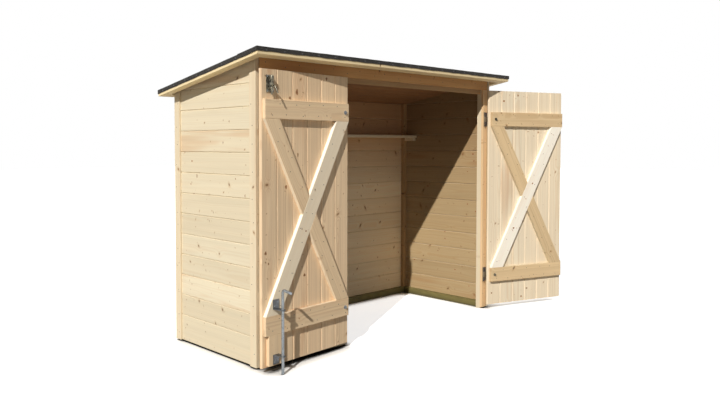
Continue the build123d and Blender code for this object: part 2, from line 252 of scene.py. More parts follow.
# %% [markdown]
# ## Spruce
# Planed spruce is pale between its growth rings and darker in them, with fine fibres, a few brown knots that
# the rings flow round, and a reddish heart in some boards. A flat picture of wood would stretch at the ends
# of a board, so the rings are worked out in the round: every board carries its own place in a tree, as
# numbers along, across and through the board from the pith, and the material cuts rings from those.

# %% Small knots
def knots_in(tree, grain, per_metre, share, least, most):
    """Scatter knots in cells: how dark, how stained round them, the push on the rings, the age."""
    spread = stretch(tree, grain, (*per_metre, 0))
    cells = add_node(tree, "TexVoronoi", {"Vector": spread, "Scale": 1.0}, voronoi_dimensions="2D")
    away = vector_sum(tree, "SUBTRACT", spread, cells.outputs["Position"])
    away = vector_sum(tree, "DIVIDE", away, (*per_metre, 1))
    size_luck, keep_luck, age_luck = add_node(tree, "SeparateColor", {0: cells.outputs["Color"]}).outputs
    along, across, _ = parts_of(tree, away)
    # A branch that was sawn along its length shows as a leaning dash, the others as ovals
    lean = sum_of(tree, "MULTIPLY", across, share_between(tree, age_luck, 0.0, 1.0, -0.5, 0.5))
    squash = share_between(tree, keep_luck, 0.0, share * 0.35, 0.35, 0.95)
    oval = {0: sum_of(tree, "ADD", along, lean), 1: sum_of(tree, "MULTIPLY", across, squash)}
    reach = length_of(tree, add_node(tree, "CombineXYZ", oval).outputs[0])
    kept = sum_of(tree, "LESS_THAN", keep_luck, share)
    size = share_between(tree, sum_of(tree, "POWER", size_luck, 1.6), 0.0, 1.0, least, most)
    size = sum_of(tree, "ADD", sum_of(tree, "MULTIPLY", size, kept), 0.00001)
    place = sum_of(tree, "DIVIDE", reach, size)
    push = sum_of(tree, "MULTIPLY", share_between(tree, reach, 0.05, 0.0, 0.0, 1.4), size)
    return share_between(tree, place, 1.05, 0.55), share_between(tree, place, 2.6, 0.9), push, age_luck


print("small knots ready")

# %% Spruce finish
heart_tint = (0.86, 0.66, 0.52)
painted_shade_tint = (0.50, 0.34, 0.22)
stain_tint = (0.62, 0.44, 0.28)
painted_shade_from, painted_shade_to = 0.75, 1.40


def spruce(
    name, pale, ring, knots=0.5, ring_strength=0.55, red=0.5, dull=0.90, inner=(0.66, 0.56, 0.42), painted_upper_shade=0.0
):
    """Make one kind of spruce: pale wood, rings, streaks, inner face, and painted shade high up inside."""
    finish, tree, shader = new_finish(name)
    grain = carried(tree, "grain")
    bright, warm, heart = parts_of(tree, carried(tree, "luck"))
    inside = carried(tree, "inside", "Fac")
    knot, halo, push, age = knots_in(tree, grain, (4.2, 12.0), knots, 0.0022, 0.0075)
    pin, pin_halo, _, _ = knots_in(tree, grain, (9.0, 17.0), knots * 0.8, 0.0012, 0.0028)
    # Growth rings lie round the pith, which wanders a little along the board
    drift = noise(tree, stretch(tree, grain, (1.1, 5, 5)), output="Color")
    drift = stretch(tree, vector_sum(tree, "SUBTRACT", drift, (0.5, 0.5, 0.5)), (0, 0.03, 0.03))
    from_pith = stretch(tree, vector_sum(tree, "ADD", grain, drift), (0, 1, 1))
    ring_place = sum_of(tree, "ADD", length_of(tree, from_pith), push)
    rings = share_between(tree, bands(tree, sum_of(tree, "MULTIPLY", ring_place, 210.0), 1.0), 0.40, 0.68)
    fibre = noise(tree, stretch(tree, grain, (14, 560, 560)))
    streak = noise(tree, stretch(tree, grain, (1.4, 34, 34)), 3.0)
    # Colour, from the palest layer to the darkest
    strength = share_between(tree, inside, 0.0, 1.0, ring_strength, ring_strength + 0.3)
    colour = mix_colour(tree, sum_of(tree, "MULTIPLY", rings, strength), pale, ring)
    colour = mix_colour(tree, sum_of(tree, "MULTIPLY", warm, 0.28), colour, ring)
    patch = share_between(tree, noise(tree, stretch(tree, grain, (1.6, 16, 16))), 0.48, 0.68)
    patch = sum_of(tree, "MULTIPLY", patch, share_between(tree, heart, 0.55, 0.95, 0.0, red))
    colour = mix_colour(tree, patch, colour, [part * tint for part, tint in zip(ring, heart_tint)])
    shade = share_between(tree, streak, 0.25, 0.75, dull, 1.02)
    board_shade = sum_of(tree, "MULTIPLY", sum_of(tree, "SUBTRACT", bright, 0.5), 0.12)
    colour = mix_colour(tree, 1.0, colour, sum_of(tree, "ADD", shade, board_shade), "MULTIPLY")
    # Inner faces take the inner tint; on ledges and braces it lightens the side edges as a painted highlight
    colour = mix_colour(tree, inside, colour, inner, "MULTIPLY")
    # Painted shade: inner faces grow darker and browner higher up under the roof
    up = parts_of(tree, object_place(tree))["Z"]
    painted_shade_share = sum_of(tree, "MULTIPLY", share_between(tree, up, painted_shade_from, painted_shade_to, 0.0, painted_upper_shade), inside)
    colour = mix_colour(tree, painted_shade_share, colour, painted_shade_tint, "MULTIPLY")
    stain = sum_of(tree, "MULTIPLY", sum_of(tree, "MAXIMUM", halo, pin_halo), 0.38)
    colour = mix_colour(tree, stain, colour, stain_tint, "MULTIPLY")
    dark_knot = mix_colour(tree, age, (0.34, 0.17, 0.07), (0.13, 0.07, 0.035))
    colour = mix_colour(tree, sum_of(tree, "MULTIPLY", pin, 0.62), colour, (0.34, 0.19, 0.09))
    colour = mix_colour(tree, sum_of(tree, "MULTIPLY", knot, 0.85), colour, dark_knot)
    relief = sum_of(tree, "ADD", sum_of(tree, "MULTIPLY", rings, 0.5), sum_of(tree, "MULTIPLY", fibre, 0.8))
    roughness = share_between(tree, fibre, 0.2, 0.8, 0.52, 0.72)
    link_finish(tree, shader, colour, roughness, relief, 0.3, 0.0006)
    shader.inputs["Specular IOR Level"].default_value = 0.28
    return finish


# Painted shade on inner faces grows between these heights
print("inner faces age from", painted_shade_from, "to", painted_shade_to, "m up")

# %% Spruce of the walls, the roof and the frame
# Walls carry painted shade high up on their inner faces
wall_spruce = spruce(
    "wall_spruce", (0.81, 0.725, 0.55), (0.72, 0.575, 0.375),
    knots=0.6, ring_strength=0.28, red=0.45, dull=0.95, inner=(0.60, 0.50, 0.375), painted_upper_shade=0.5,
)
# Painted light: the inner tint lightens the shaded inner face; high up it takes the most painted shade
back_spruce = spruce(
    "back_spruce", (0.89, 0.785, 0.61), (0.83, 0.65, 0.44),
    knots=0.6, ring_strength=0.25, red=0.3, dull=0.96, inner=(1.12, 1.08, 1.02), painted_upper_shade=0.95,
)
clear_wood = {"knots": 0.15, "ring_strength": 0.24, "red": 0.2, "dull": 0.95}
trim_spruce = spruce("trim_spruce", (0.83, 0.72, 0.535), (0.77, 0.61, 0.405), **clear_wood)
edge_spruce = spruce("edge_spruce", (1.0, 0.83, 0.52), (0.90, 0.68, 0.38), **clear_wood)
post_spruce = spruce("post_spruce", (0.92, 0.67, 0.40), (0.75, 0.48, 0.245), ring_strength=0.5)
# Header, inner timbers and roof boards are dark partly by their own colour and partly as painted shade
dark_wood = {"knots": 0.45, "ring_strength": 0.5}
header_spruce = spruce("header_spruce", (0.78, 0.46, 0.19), (0.62, 0.32, 0.12), **dark_wood)
inner_spruce = spruce("inner_spruce", (0.52, 0.33, 0.16), (0.38, 0.22, 0.095), **dark_wood)
# The inner tint of the roof boards darkens their underside further as painted shade
deck_spruce = spruce(
    "deck_spruce", (0.36, 0.185, 0.08), (0.26, 0.12, 0.05), inner=(0.85, 0.8, 0.75), **dark_wood
)
print("spruce of walls, roof and frame ready")

# %% Spruce of the doors
# The inner tint of ledges and braces lightens their side edges as a painted highlight
ledge_wood = {"knots": 0.45, "red": 0.3, "inner": (1.05, 1.2, 1.42)}
left_door_spruce = spruce(
    "left_door_spruce", (0.96, 0.735, 0.49), (0.74, 0.505, 0.31), knots=0.42, ring_strength=0.6
)
left_ledge_spruce = spruce("left_ledge_spruce", (0.97, 0.755, 0.50), (0.78, 0.54, 0.325), **ledge_wood)
left_brace_spruce = spruce(
    "left_brace_spruce", (1.0, 0.88, 0.69), (0.96, 0.79, 0.57),
    knots=0.4, ring_strength=0.4, red=0.2, dull=0.96, inner=(1.0, 1.1, 1.3),
)
right_door_spruce = spruce(
    "right_door_spruce", (0.94, 0.82, 0.63), (0.80, 0.62, 0.42), knots=0.45, ring_strength=0.50
)
right_ledge_spruce = spruce("right_ledge_spruce", (0.78, 0.59, 0.355), (0.62, 0.435, 0.24), **ledge_wood)
right_brace_spruce = spruce(
    "right_brace_spruce", (1.0, 0.95, 0.85), (0.92, 0.81, 0.64),
    knots=0.4, ring_strength=0.35, red=0.2, dull=0.94, inner=(1.0, 1.03, 1.1),
)
print("spruce finishes:", [m.name for m in bpy.data.materials if m.name.endswith("spruce")])

# %% [markdown]
# ## Giving a board its place in a tree
# On the real thing each board is sawn from its own log, so no two show the same figure.
# The numbers could be typed in for each board, but its own shape says enough: the grain runs along the
# longest edge, and the widest face tells which way is through the board. A seeded draw picks the pith and
# the shade. Faces that look into the shelter are marked, since they have another colour, and so are the
# side edges of ledges and braces, which their finish lightens as a painted highlight.

# %% Grain
draw = random.Random(27)
face_slack = 0.0002


def mark_grain(board, inward=None, heart=None, painted_edge_light=False):
    """Write the board's grain, its luck in shade and figure, its inward faces, and edges for a painted
    highlight.
    """
    mesh = board.data
    corners = [vertex.co for vertex in mesh.vertices]
    longest = max(mesh.edges, key=lambda e: (corners[e.vertices[0]] - corners[e.vertices[1]]).length)
    along = (corners[longest.vertices[0]] - corners[longest.vertices[1]]).normalized()
    through = max(mesh.polygons, key=lambda f: f.area).normal.copy()
    across = through.cross(along)
    middle = sum(corners, Vector()) / len(corners)
    deepest = max((corner - middle).dot(inward) for corner in corners) if inward else 0.0
    pith_along, pith_across = draw.uniform(0, 60), draw.uniform(-0.05, 0.05)
    pith_through = draw.choice((-1, 1)) * draw.uniform(0.02, 0.08)
    luck = [draw.random(), draw.random(), draw.random() if heart is None else heart]
    grain, inside = [], []
    for corner in corners:
        spot = corner - middle
        grain += [spot.dot(along) + pith_along, spot.dot(across) + pith_across]
        grain.append(spot.dot(through) + pith_through)
        # The planed lip between the inner face and the joint is half marked
        depth = spot.dot(inward) if inward else -1.0
        inside.append(1.0 if depth > deepest - face_slack else 0.5 if depth > 0 else 0.0)
    # Painted highlight: both side edges of a stick are marked so that its finish lightens them
    if painted_edge_light:
        for face in mesh.polygons:
            if abs(face.normal.dot(across)) > 0.99:
                for number in face.vertices:
                    inside[number] = 1.0
    mesh.attributes.new("grain", "FLOAT_VECTOR", "POINT").data.foreach_set("vector", grain)
    mesh.attributes.new("luck", "FLOAT_VECTOR", "POINT").data.foreach_set("vector", luck * len(corners))
    mesh.attributes.new("inside", "FLOAT", "POINT").data.foreach_set("value", inside)


print("grain ready")

# %% Joining and dressing
def choose(*pieces):
    """Select these objects alone, and make the first one active."""
    bpy.ops.object.select_all(action="DESELECT")
    for piece in pieces:
        piece.select_set(True)
    bpy.context.view_layer.objects.active = pieces[0]


def settle():
    """Put the place, turn and scale of what is selected into its mesh."""
    bpy.ops.object.transform_apply(location=True, rotation=True, scale=True)


def join(pieces, name):
    """Join pieces into one object at the origin."""
    choose(*pieces)
    if len(pieces) > 1:
        bpy.ops.object.join()
    settle()
    pieces[0].name = name
    return pieces[0]


def dress(piece, finish, slot, *nodes, body=None):
    """Give a piece its finish and its body, and let it stand for the solids that it was modelled on."""
    piece.data.materials.clear()
    piece.data.materials.append(finish)
    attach(piece, body or body_of[nodes[0]])
    if nodes:
        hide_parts(*nodes)
    print(piece.name, len(piece.data.polygons), "faces")


print("joining and dressing ready")

# %% [markdown]
# ## One tongued and grooved board
# Wall and door boards lock into each other with a tongue. The outer face has an even V at each joint, and on
# the inner face one edge is planed off further than the other, so that it catches the sun as a thin bright
# line. A slab with grooves cut into it would be quicker, but then the grain would run across the joints.
# So each board starts as its section, one flat face with the tongue and the groove in it, and is extruded.

# %% Edit mode
def open_up(piece):
    """Go into edit mode on one object, with everything in it selected."""
    choose(piece)
    bpy.ops.object.mode_set(mode="EDIT")
    bpy.ops.mesh.select_all(action="SELECT")


def close_up():
    """Leave edit mode."""
    bpy.ops.object.mode_set(mode="OBJECT")


def face_outwards():
    """In edit mode, turn every face outwards."""
    bpy.ops.mesh.select_all(action="SELECT")
    bpy.ops.mesh.normals_make_consistent(inside=False)


def draw_out(step):
    """In edit mode, extrude what is selected by a step."""
    bpy.ops.mesh.extrude_region_move(TRANSFORM_OT_translate={"value": step})


def pick(piece, kind, test):
    """In edit mode, select only the faces or edges that pass a test of their place or direction."""
    bpy.ops.mesh.select_mode(type=kind)
    bpy.ops.mesh.select_all(action="DESELECT")
    shape = bmesh.from_edit_mesh(piece.data)
    for part in shape.faces if kind == "FACE" else shape.edges:
        part.select_set(test(part))
    bmesh.update_edit_mesh(piece.data)


print("edit mode helpers ready")

# %% Board
board_gap = 0.0008
board_vee = 0.0034
lip_wide, lip_fine = 0.0056, 0.0020
tongue_half, tongue_reach, tongue_slack = 0.0022, 0.005, 0.0002


def board_section(width, thickness, tongue, groove):
    """Corners of a section, as distances across the board and through it from its outer face."""
    low, high = board_gap / 2, width - board_gap / 2
    middle = (board_vee + thickness - lip_wide) / 2
    corners = [(low + board_vee, 0), (high - board_vee, 0), (high, board_vee)]
    if tongue:
        tip = high + tongue_reach
        corners += [(high, middle - tongue_half), (tip, middle - tongue_half)]
        corners += [(tip, middle + tongue_half), (high, middle + tongue_half)]
    corners += [(high, thickness - lip_wide), (high - lip_wide, thickness)]
    corners += [(low + lip_fine, thickness), (low, thickness - lip_fine)]
    if groove:
        end = low + tongue_reach + board_gap
        half = tongue_half + tongue_slack
        corners += [(low, middle + half), (end, middle + half), (end, middle - half), (low, middle - half)]
    return corners + [(low, board_vee)]


def jointed_board(low, high, across, inner, tongue=True, groove=True):
    """Model a board between two corners; neighbours lie along across, and inner is its inner side's sign."""
    low, high = Vector(low), Vector(high)
    size = high - low
    long_axis = max((axis for axis in range(3) if axis != across), key=lambda axis: size[axis])
    thin_axis = 3 - across - long_axis
    spots = []
    for along, through in board_section(size[across], size[thin_axis], tongue, groove):
        spot = low.copy()
        spot[across] += along
        spot[thin_axis] = low[thin_axis] + through if inner > 0 else high[thin_axis] - through
        spots.append(spot)
    mesh = bpy.data.meshes.new("board")
    mesh.from_pydata(spots, [], [range(len(spots))])
    board = bpy.data.objects.new("board", mesh)
    bpy.context.collection.objects.link(board)
    step = Vector((0, 0, 0))
    step[long_axis] = size[long_axis]
    open_up(board)
    draw_out(step)
    face_outwards()
    close_up()
    return board


print("board with a gap of", board_gap, "m and a V of", board_vee, "m")

# %% [markdown]
# ## Walls
# The side walls, the back wall and the fixed front panel are all level boards at one pitch, so their joints
# meet at the corners. The tops of the side walls follow the roof. Boards could be modelled with sloping tops
# one by one, but it is easier to stack full boards and bisect what stands above the underside of the roof.

# %% Cutting to the roof
roof_pitch = math.radians(9.6)
roof_normal = Vector((0, math.sin(roof_pitch), math.cos(roof_pitch)))
roof_point = Vector((0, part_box("left_wall")[0].y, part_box("left_wall")[1].z))


def roof_underside(y):
    """Height of the underside of the roof deck above a line across the shelter."""
    return roof_point.z - math.tan(roof_pitch) * (y - roof_point.y)


def cut_to_roof(piece):
    """Bisect a piece at the underside of the roof and keep the lower part."""
    open_up(piece)
    bpy.ops.mesh.bisect(plane_co=roof_point, plane_no=roof_normal, use_fill=True, clear_outer=True)
    close_up()


print("roof underside", round(roof_underside(roof_point.y), 4), "m at the front")

# %% Wall boards
board_cover = 0.121
first_joint = 0.161
board_slip = 0.0007
red_board = ("right_wall", 8)


def board_wall(node, name, inward, finish=wall_spruce, under_roof=True):
    """Stack boards to fill the place of a wall."""
    low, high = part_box(node)
    boards = []
    rows = math.ceil((high.z - first_joint) / board_cover - 0.05) + 1
    for row in range(rows):
        bottom = Vector((low.x, low.y, first_joint + (row - 1) * board_cover if row else low.z))
        top = Vector((high.x, high.y, first_joint + row * board_cover))
        if not under_roof and row == rows - 1:
            top.z = high.z
        set_in = Vector(inward) * draw.uniform(0, board_slip)
        board = jointed_board(bottom + set_in, top + set_in, 2, sum(inward), row < rows - 1, row > 0)
        if under_roof and top.z > roof_underside(high.y):
            cut_to_roof(board)
        mark_grain(board, Vector(inward), 1.0 if (node, row) == red_board else None)
        boards.append(board)
    dress(join(boards, name), finish, "wall_wood", node)


board_wall("left_wall", "left_wall_boards", (1, 0, 0))
board_wall("right_wall", "right_wall_boards", (-1, 0, 0))
board_wall("back_wall", "back_wall_boards", (0, -1, 0), back_spruce)
board_wall("front_panel", "front_panel_boards", (0, 1, 0), under_roof=False)

# %% [markdown]
# ## Plain timbers
# Trims, posts, header, battens, shelf, roof edges, sills, ledges and braces are planed sticks with slightly
# eased edges. They could be drawn again from boxes, but the checked solids already have every cut and slope,
# so each one is copied, its triangles are merged into plain faces, and a narrow bevel takes off the sharp
# edges. Sticks that share a solid are parted first, so that each gets grain of its own.

# %% Sticks from the solids
def plain_copy(node):
    """Copy a solid and turn its loose triangles back into plain faces."""
    twin = bpy.data.objects.new(node + "_copy", frame["nodes"][node].data.copy())
    bpy.context.collection.objects.link(twin)
    choose(twin)
    bpy.ops.mesh.customdata_custom_splitnormals_clear()
    open_up(twin)
    bpy.ops.mesh.remove_doubles(threshold=0.00002)
    bpy.ops.mesh.dissolve_limited(angle_limit=math.radians(1.0))
    close_up()
    return twin


def ease_edges(piece, width):
    """Take the sharp edges off a piece."""
    choose(piece)
    bpy.ops.object.modifier_add(type="BEVEL")
    bevel = piece.modifiers[-1]
    bevel.width = width
    bevel.segments = 2
    bevel.limit_method = "ANGLE"
    bevel.angle_limit = math.radians(40)
    bpy.ops.object.modifier_apply(modifier=bevel.name)


def timber(node, finish, slot="wall_wood", edge=0.0012, painted_edge_light=False):
    """Dress one solid as sticks of wood."""
    open_up(plain_copy(node))
    bpy.ops.mesh.separate(type="LOOSE")
    close_up()
    sticks = sorted(bpy.context.selected_objects, key=lambda stick: stick.name)
    for stick in sticks:
        ease_edges(stick, edge)
        mark_grain(stick, painted_edge_light=painted_edge_light)
    dress(join(sticks, node + "_timber"), finish, slot, node)


for finish, nodes in (
    (trim_spruce, ("left_wall_trims", "right_wall_trims")),
    (edge_spruce, ("roof_front_edge", "roof_back_edge", "roof_left_edge", "roof_right_edge")),
    (inner_spruce, ("left_front_post", "jamb_post", "header_beam", "door_stop", "back_corner_battens")),
    (header_spruce, ("header_board",)),
    (trim_spruce, ("right_front_post", "shelf", "shelf_cleats")),
    (post_spruce, ("right_post_board",)),
):
    for node in nodes:
        timber(node, finish)

# %% [markdown]
# ## Treated sills
# The sills lie on damp ground, so the real ones are pressure treated and have gone olive green.
# A second spruce finish with green colours would do, but treated wood is also blotchy and darker at its foot,
# so this finish is made on its own and darkens towards the ground.

# %% Sills
treated_green, tree, shader = new_finish("treated_green")
place = object_place(tree)
streak = noise(tree, stretch(tree, carried(tree, "grain"), (2.0, 60, 60)), 3.0)
blotch = noise(tree, stretch(tree, place, (7, 7, 16)))
up = parts_of(tree, place)["Z"]
colour = mix_colour(tree, share_between(tree, streak, 0.3, 0.7), (0.14, 0.115, 0.034), (0.205, 0.17, 0.055))
colour = mix_colour(tree, share_between(tree, blotch, 0.45, 0.70, 0.0, 0.6), colour, (0.10, 0.088, 0.030))
colour = mix_colour(tree, share_between(tree, up, 0.030, 0.0, 0.0, 0.6), colour, (0.06, 0.052, 0.022))
link_finish(tree, shader, colour, share_between(tree, streak, 0.2, 0.8, 0.6, 0.8), streak, 0.4, 0.001)
for node in ("left_base_sill", "right_base_sill", "back_base_sill", "front_base_sill"):
    timber(node, treated_green, "treated_wood", 0.002)

# %% [markdown]
# ## Roof boards
# Under the felt lie boards from side to side. They are easier to model level, side by side along Y, and then
# turned as one piece to the slope of the roof.

# %% Deck
deck_low, deck_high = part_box("roof_deck")
deck_count = 8
deck_thickness = 0.016
deck_end_gap = 0.001
deck_front = deck_low.y + 0.003
deck_board = (deck_high.y - deck_low.y - 0.004) / math.cos(roof_pitch) / deck_count
deck = []
for row in range(deck_count):
    start = (deck_low.x + deck_end_gap, row * deck_board, 0)
    end = (deck_high.x - deck_end_gap, (row + 1) * deck_board, deck_thickness)
    board = jointed_board(start, end, 1, -1, row < deck_count - 1, row > 0)
    mark_grain(board, Vector((0, 0, -1)))
    deck.append(board)
deck = join(deck, "roof_deck_boards")
deck.rotation_euler.x = -roof_pitch
deck.location = (0, deck_front, roof_underside(deck_front))
settle()
dress(deck, deck_spruce, "wall_wood", "roof_deck")

# %% [markdown]
# ## Felt
# The roof is covered with mineral felt, a full width and a narrow strip that laps over it at the front, and
# both are folded down over the roof edges. A box would give straight, dead edges, so each length is a grid
# whose border is pulled down, made a little uneven along its lower edge as cut felt is, and then given its
# thickness.

# %% Felt lengths
felt_low, felt_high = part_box("roofing_felt")
felt_thickness = 0.0026
felt_fold = 0.0235
felt_lap = 0.085
felt_lap_rise = 0.0014
felt_middle = felt_low.y + 0.12
felt_columns, felt_rows_per_metre = 76, 12


def felt_top(y):
    """Height of the top of the felt above a line across the shelter."""
    return felt_high.z - math.tan(roof_pitch) * (y - felt_low.y)


def felt_length(name, y_from, y_to, raise_by, free_edge):
    """Lay one length of felt; free_edge is the Y of the edge that lies flat on the other length."""
    rows = 3 + round((y_to - y_from) * felt_rows_per_metre)
    bpy.ops.object.select_all(action="DESELECT")
    bpy.ops.mesh.primitive_grid_add(x_subdivisions=felt_columns, y_subdivisions=rows, size=1)
    sheet = bpy.context.object
    sheet.scale = (felt_high.x - felt_low.x + 2.6 * raise_by, (y_to - y_from) / math.cos(roof_pitch), 1)
    sheet.rotation_euler.x = -roof_pitch
    middle = (y_from + y_to) / 2
    sheet.location = (0, middle, felt_top(middle) + raise_by)
    settle()
    open_up(sheet)
    pick(
        sheet, "EDGE",
        lambda edge: edge.is_boundary and max(abs(v.co.y - free_edge) for v in edge.verts) > 0.002,
    )
    draw_out((0, 0, -felt_fold))
    shape = bmesh.from_edit_mesh(sheet.data)
    for vertex in shape.verts:
        wave = math.sin(vertex.co.x * 23) + math.sin(vertex.co.x * 61 + 1) + math.sin(vertex.co.y * 37 + 2)
        if vertex.select:
            vertex.co.z += 0.0009 * wave
        elif not vertex.is_boundary and len(vertex.link_faces) == 4:
            vertex.co.z -= 0.0004 + 0.0003 * wave
    bmesh.update_edit_mesh(sheet.data)
    close_up()
    bpy.ops.object.modifier_add(type="SOLIDIFY")
    sheet.modifiers[-1].thickness = felt_thickness
    sheet.modifiers[-1].offset = -1
    bpy.ops.object.modifier_apply(modifier=sheet.modifiers[-1].name)
    sheet.name = name
    return sheet


lap_front, lap_back = felt_middle - felt_lap / 2, felt_middle + felt_lap / 2
back_felt = felt_length("felt_back", lap_front, felt_high.y, 0, lap_front)
front_felt = felt_length("felt_front", felt_low.y, lap_back, felt_lap_rise, lap_back)
felt = join([back_felt, front_felt], "roofing_felt_lengths")
print("felt laps by", felt_lap, "m")

# %% Felt finish
felt_finish, tree, shader = new_finish("mineral_felt")
place = object_place(tree)
grit = add_node(tree, "TexVoronoi", {"Vector": place, "Scale": 420.0})
grit_luck = first_luck(tree, grit)
weather = noise(tree, stretch(tree, place, (5, 9, 9)), 4.0)
pale_grit = share_between(tree, grit_luck, 0.55, 1.0)
colour = mix_colour(tree, pale_grit, (0.022, 0.021, 0.020), (0.085, 0.080, 0.075))
colour = mix_colour(tree, share_between(tree, weather, 0.40, 0.70, 0.0, 0.45), colour, (0.050, 0.045, 0.040))
relief = sum_of(tree, "ADD", grit.outputs["Distance"], sum_of(tree, "MULTIPLY", weather, 0.6))
link_finish(tree, shader, colour, share_between(tree, grit_luck, 0.0, 1.0, 0.75, 0.95), relief, 0.5, 0.0015)
shader.inputs["Specular IOR Level"].default_value = 0.25
dress(felt, felt_finish, "roof_felt", "roofing_felt")

# %% [markdown]
# ## Door leaves
# Each leaf is six upright boards. The doors stand open at odd angles, so a leaf is modelled shut along the
# X axis with its hinge pin at the origin, and then turned about the pin and moved to its post in one go.
# The hinge side of the left door is on its right as it stands open, so its boards run the other way.

# %% Door places
door_rows = 6
door_edge = 0.017
door_board = 0.671 / door_rows
door_slip = 0.0006
door_outer, door_inner, ledge_face = 0.005, 0.023, 0.045
door_bottom, door_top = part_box("left_door_boards")[0].z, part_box("left_door_boards")[1].z
ledge_bottoms = (door_bottom + 0.165, door_top - 0.253)
ledge_height = 0.100
ledge_hinge_end, ledge_free_end = 0.033, 0.678
hinge_heights = [bottom + ledge_height / 2 for bottom in ledge_bottoms]
pin_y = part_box("front_panel")[0].y - 0.006
doors = {
    "left": (1, -0.395, math.radians(-175.5)),
    "right": (-1, 0.987, math.radians(162)),
}


def hang(piece, side):
    """Turn a piece that was modelled on a shut door about the hinge pin, and move it to its post."""
    _, pin_x, turn = doors[side]
    choose(piece)
    piece.rotation_euler.z = turn
    piece.location = (pin_x, pin_y, 0)
    settle()
    return piece


print("doors from", round(door_bottom, 3), "to", round(door_top, 3), "m")

# %% Door boards
for side, finish in (("left", left_door_spruce), ("right", right_door_spruce)):
    sign = doors[side][0]
    leaf = []
    first, last = (0, door_rows - 1) if sign > 0 else (door_rows - 1, 0)
    for row in range(door_rows):
        ends = sorted((sign * (door_edge + row * door_board), sign * (door_edge + (row + 1) * door_board)))
        proud = draw.uniform(0, door_slip)
        board = jointed_board(
            (ends[0], door_outer + proud, door_bottom), (ends[1], door_inner - proud, door_top), 0, 1,
            row != last, row != first,
        )
        mark_grain(board)
        leaf.append(board)
    leaf = hang(join(leaf, side + "_door_leaf"), side)
    dress(leaf, finish, "door_wood", side + "_door_boards")

# %% Ledges and braces
stick_edge = 0.002
for side, ledge_finish, brace_finish in (
    ("left", left_ledge_spruce, left_brace_spruce),
    ("right", right_ledge_spruce, right_brace_spruce),
):
    timber(side + "_door_ledges", ledge_finish, "door_wood", stick_edge, painted_edge_light=True)
    timber(side + "_door_long_brace", brace_finish, "door_wood", stick_edge, painted_edge_light=True)
    timber(side + "_door_half_braces", ledge_finish, "door_wood", stick_edge, painted_edge_light=True)
timber("drop_bolt_packer", left_ledge_spruce, "door_wood", stick_edge)

# %% [markdown]
# ## Metal finishes
# The drop bolt and its brackets are galvanised, which leaves a grey skin of zinc with faint crystals in it.
# The top bolt is blackened and glossy, and the hinges and nails are dark iron with a breath of rust.
# All of them vary in colour and in gloss, because metal of one even grey looks like plastic.

# %% Zinc, iron and steel
def metal_finish(name, dark, light, stain, stain_share, metallic, roughness, fineness):
    """Make a metal from two shades in crystals and a stain in clouds."""
    finish, tree, shader = new_finish(name)
    place = object_place(tree)
    crystal = first_luck(tree, add_node(tree, "TexVoronoi", {"Vector": place, "Scale": fineness}))
    clouds = noise(tree, stretch(tree, place, (60, 60, 45)), 4.0)
    colour = mix_colour(tree, crystal, dark, light)
    colour = mix_colour(tree, share_between(tree, clouds, 0.48, 0.66, 0.0, stain_share), colour, stain)
    rough = sum_of(tree, "ADD", sum_of(tree, "MULTIPLY", clouds, 0.25), roughness - 0.1)
    link_finish(tree, shader, colour, rough, clouds, 0.25, 0.0004)
    shader.inputs["Metallic"].default_value = metallic
    return finish


zinc = metal_finish(
    "zinc", (0.17, 0.19, 0.21), (0.28, 0.305, 0.33), (0.21, 0.21, 0.195),
    stain_share=0.5, metallic=0.75, roughness=0.42, fineness=160.0,
)
plate_zinc = metal_finish(
    "plate_zinc", (0.085, 0.09, 0.10), (0.15, 0.16, 0.175), (0.11, 0.11, 0.10),
    stain_share=0.5, metallic=0.75, roughness=0.40, fineness=160.0,
)
black_zinc = metal_finish(
    "black_zinc", (0.016, 0.014, 0.011), (0.34, 0.31, 0.23), (0.05, 0.042, 0.026),
    stain_share=0.7, metallic=0.85, roughness=0.28, fineness=130.0,
)
strap_iron = metal_finish(
    "strap_iron", (0.12, 0.095, 0.065), (0.26, 0.21, 0.14), (0.16, 0.08, 0.04),
    stain_share=0.5, metallic=0.5, roughness=0.45, fineness=300.0,
)
clout_grey = metal_finish(
    "clout_grey", (0.05, 0.05, 0.052), (0.09, 0.09, 0.094), (0.05, 0.047, 0.045),
    stain_share=0.4, metallic=0.4, roughness=0.55, fineness=500.0,
)
dark_iron = metal_finish(
    "dark_iron", (0.045, 0.038, 0.033), (0.075, 0.062, 0.052), (0.20, 0.085, 0.035),
    stain_share=0.6, metallic=0.35, roughness=0.55, fineness=300.0,
)
nail_steel = metal_finish(
    "nail_steel", (0.10, 0.085, 0.07), (0.16, 0.13, 0.11), (0.16, 0.08, 0.04),
    stain_share=0.5, metallic=0.4, roughness=0.55, fineness=500.0,
)
metals = (zinc, plate_zinc, black_zinc, strap_iron, clout_grey, dark_iron, nail_steel)
print("metals:", [metal.name for metal in metals])

# %% [markdown]
# ## Hinges, brackets and the bolt plate
# These are pressed from sheet metal, so their solids are right apart from their knife edges.
# Each is copied, its faces are merged, and a fine bevel gives every edge a line of light.
# Where a knuckle meets its plate the bevel leaves flat slivers, which are dissolved again.

# %% Pressed metal from the solids
def pressed_metal(node, finish, slot):
    """Dress one solid as pressed sheet metal."""
    twin = plain_copy(node)
    ease_edges(twin, 0.0006)
    open_up(twin)
    bpy.ops.mesh.dissolve_degenerate(threshold=0.00002)
    close_up()
    bpy.ops.object.shade_smooth_by_angle(angle=math.radians(32))
    twin.name = node + "_metal"
    dress(twin, finish, slot, node)


for side in doors:
    pressed_metal(side + "_hinge_plates", dark_iron, "hinge_iron")
    pressed_metal(side + "_door_straps", strap_iron, "hinge_iron")
pressed_metal("drop_bolt_brackets", plate_zinc, "galvanised_steel")
pressed_metal("top_bolt_plate", black_zinc, "hinge_iron")

# %% [markdown]
# ## Bolts
# The drop bolt is one round bar whose top is bent over as a handle. A curve with a round section would do,
# but extruding a disc, spinning it round the bend and extruding it again is how the bar itself is bent,
# and it keeps the section true. The small top bolt gets its bent handle in the same way.
# The spin operator turns clockwise as seen against its axis, so an axis along +X bends a bar off the door.

# %% Bent bars
round_angle = math.radians(40)


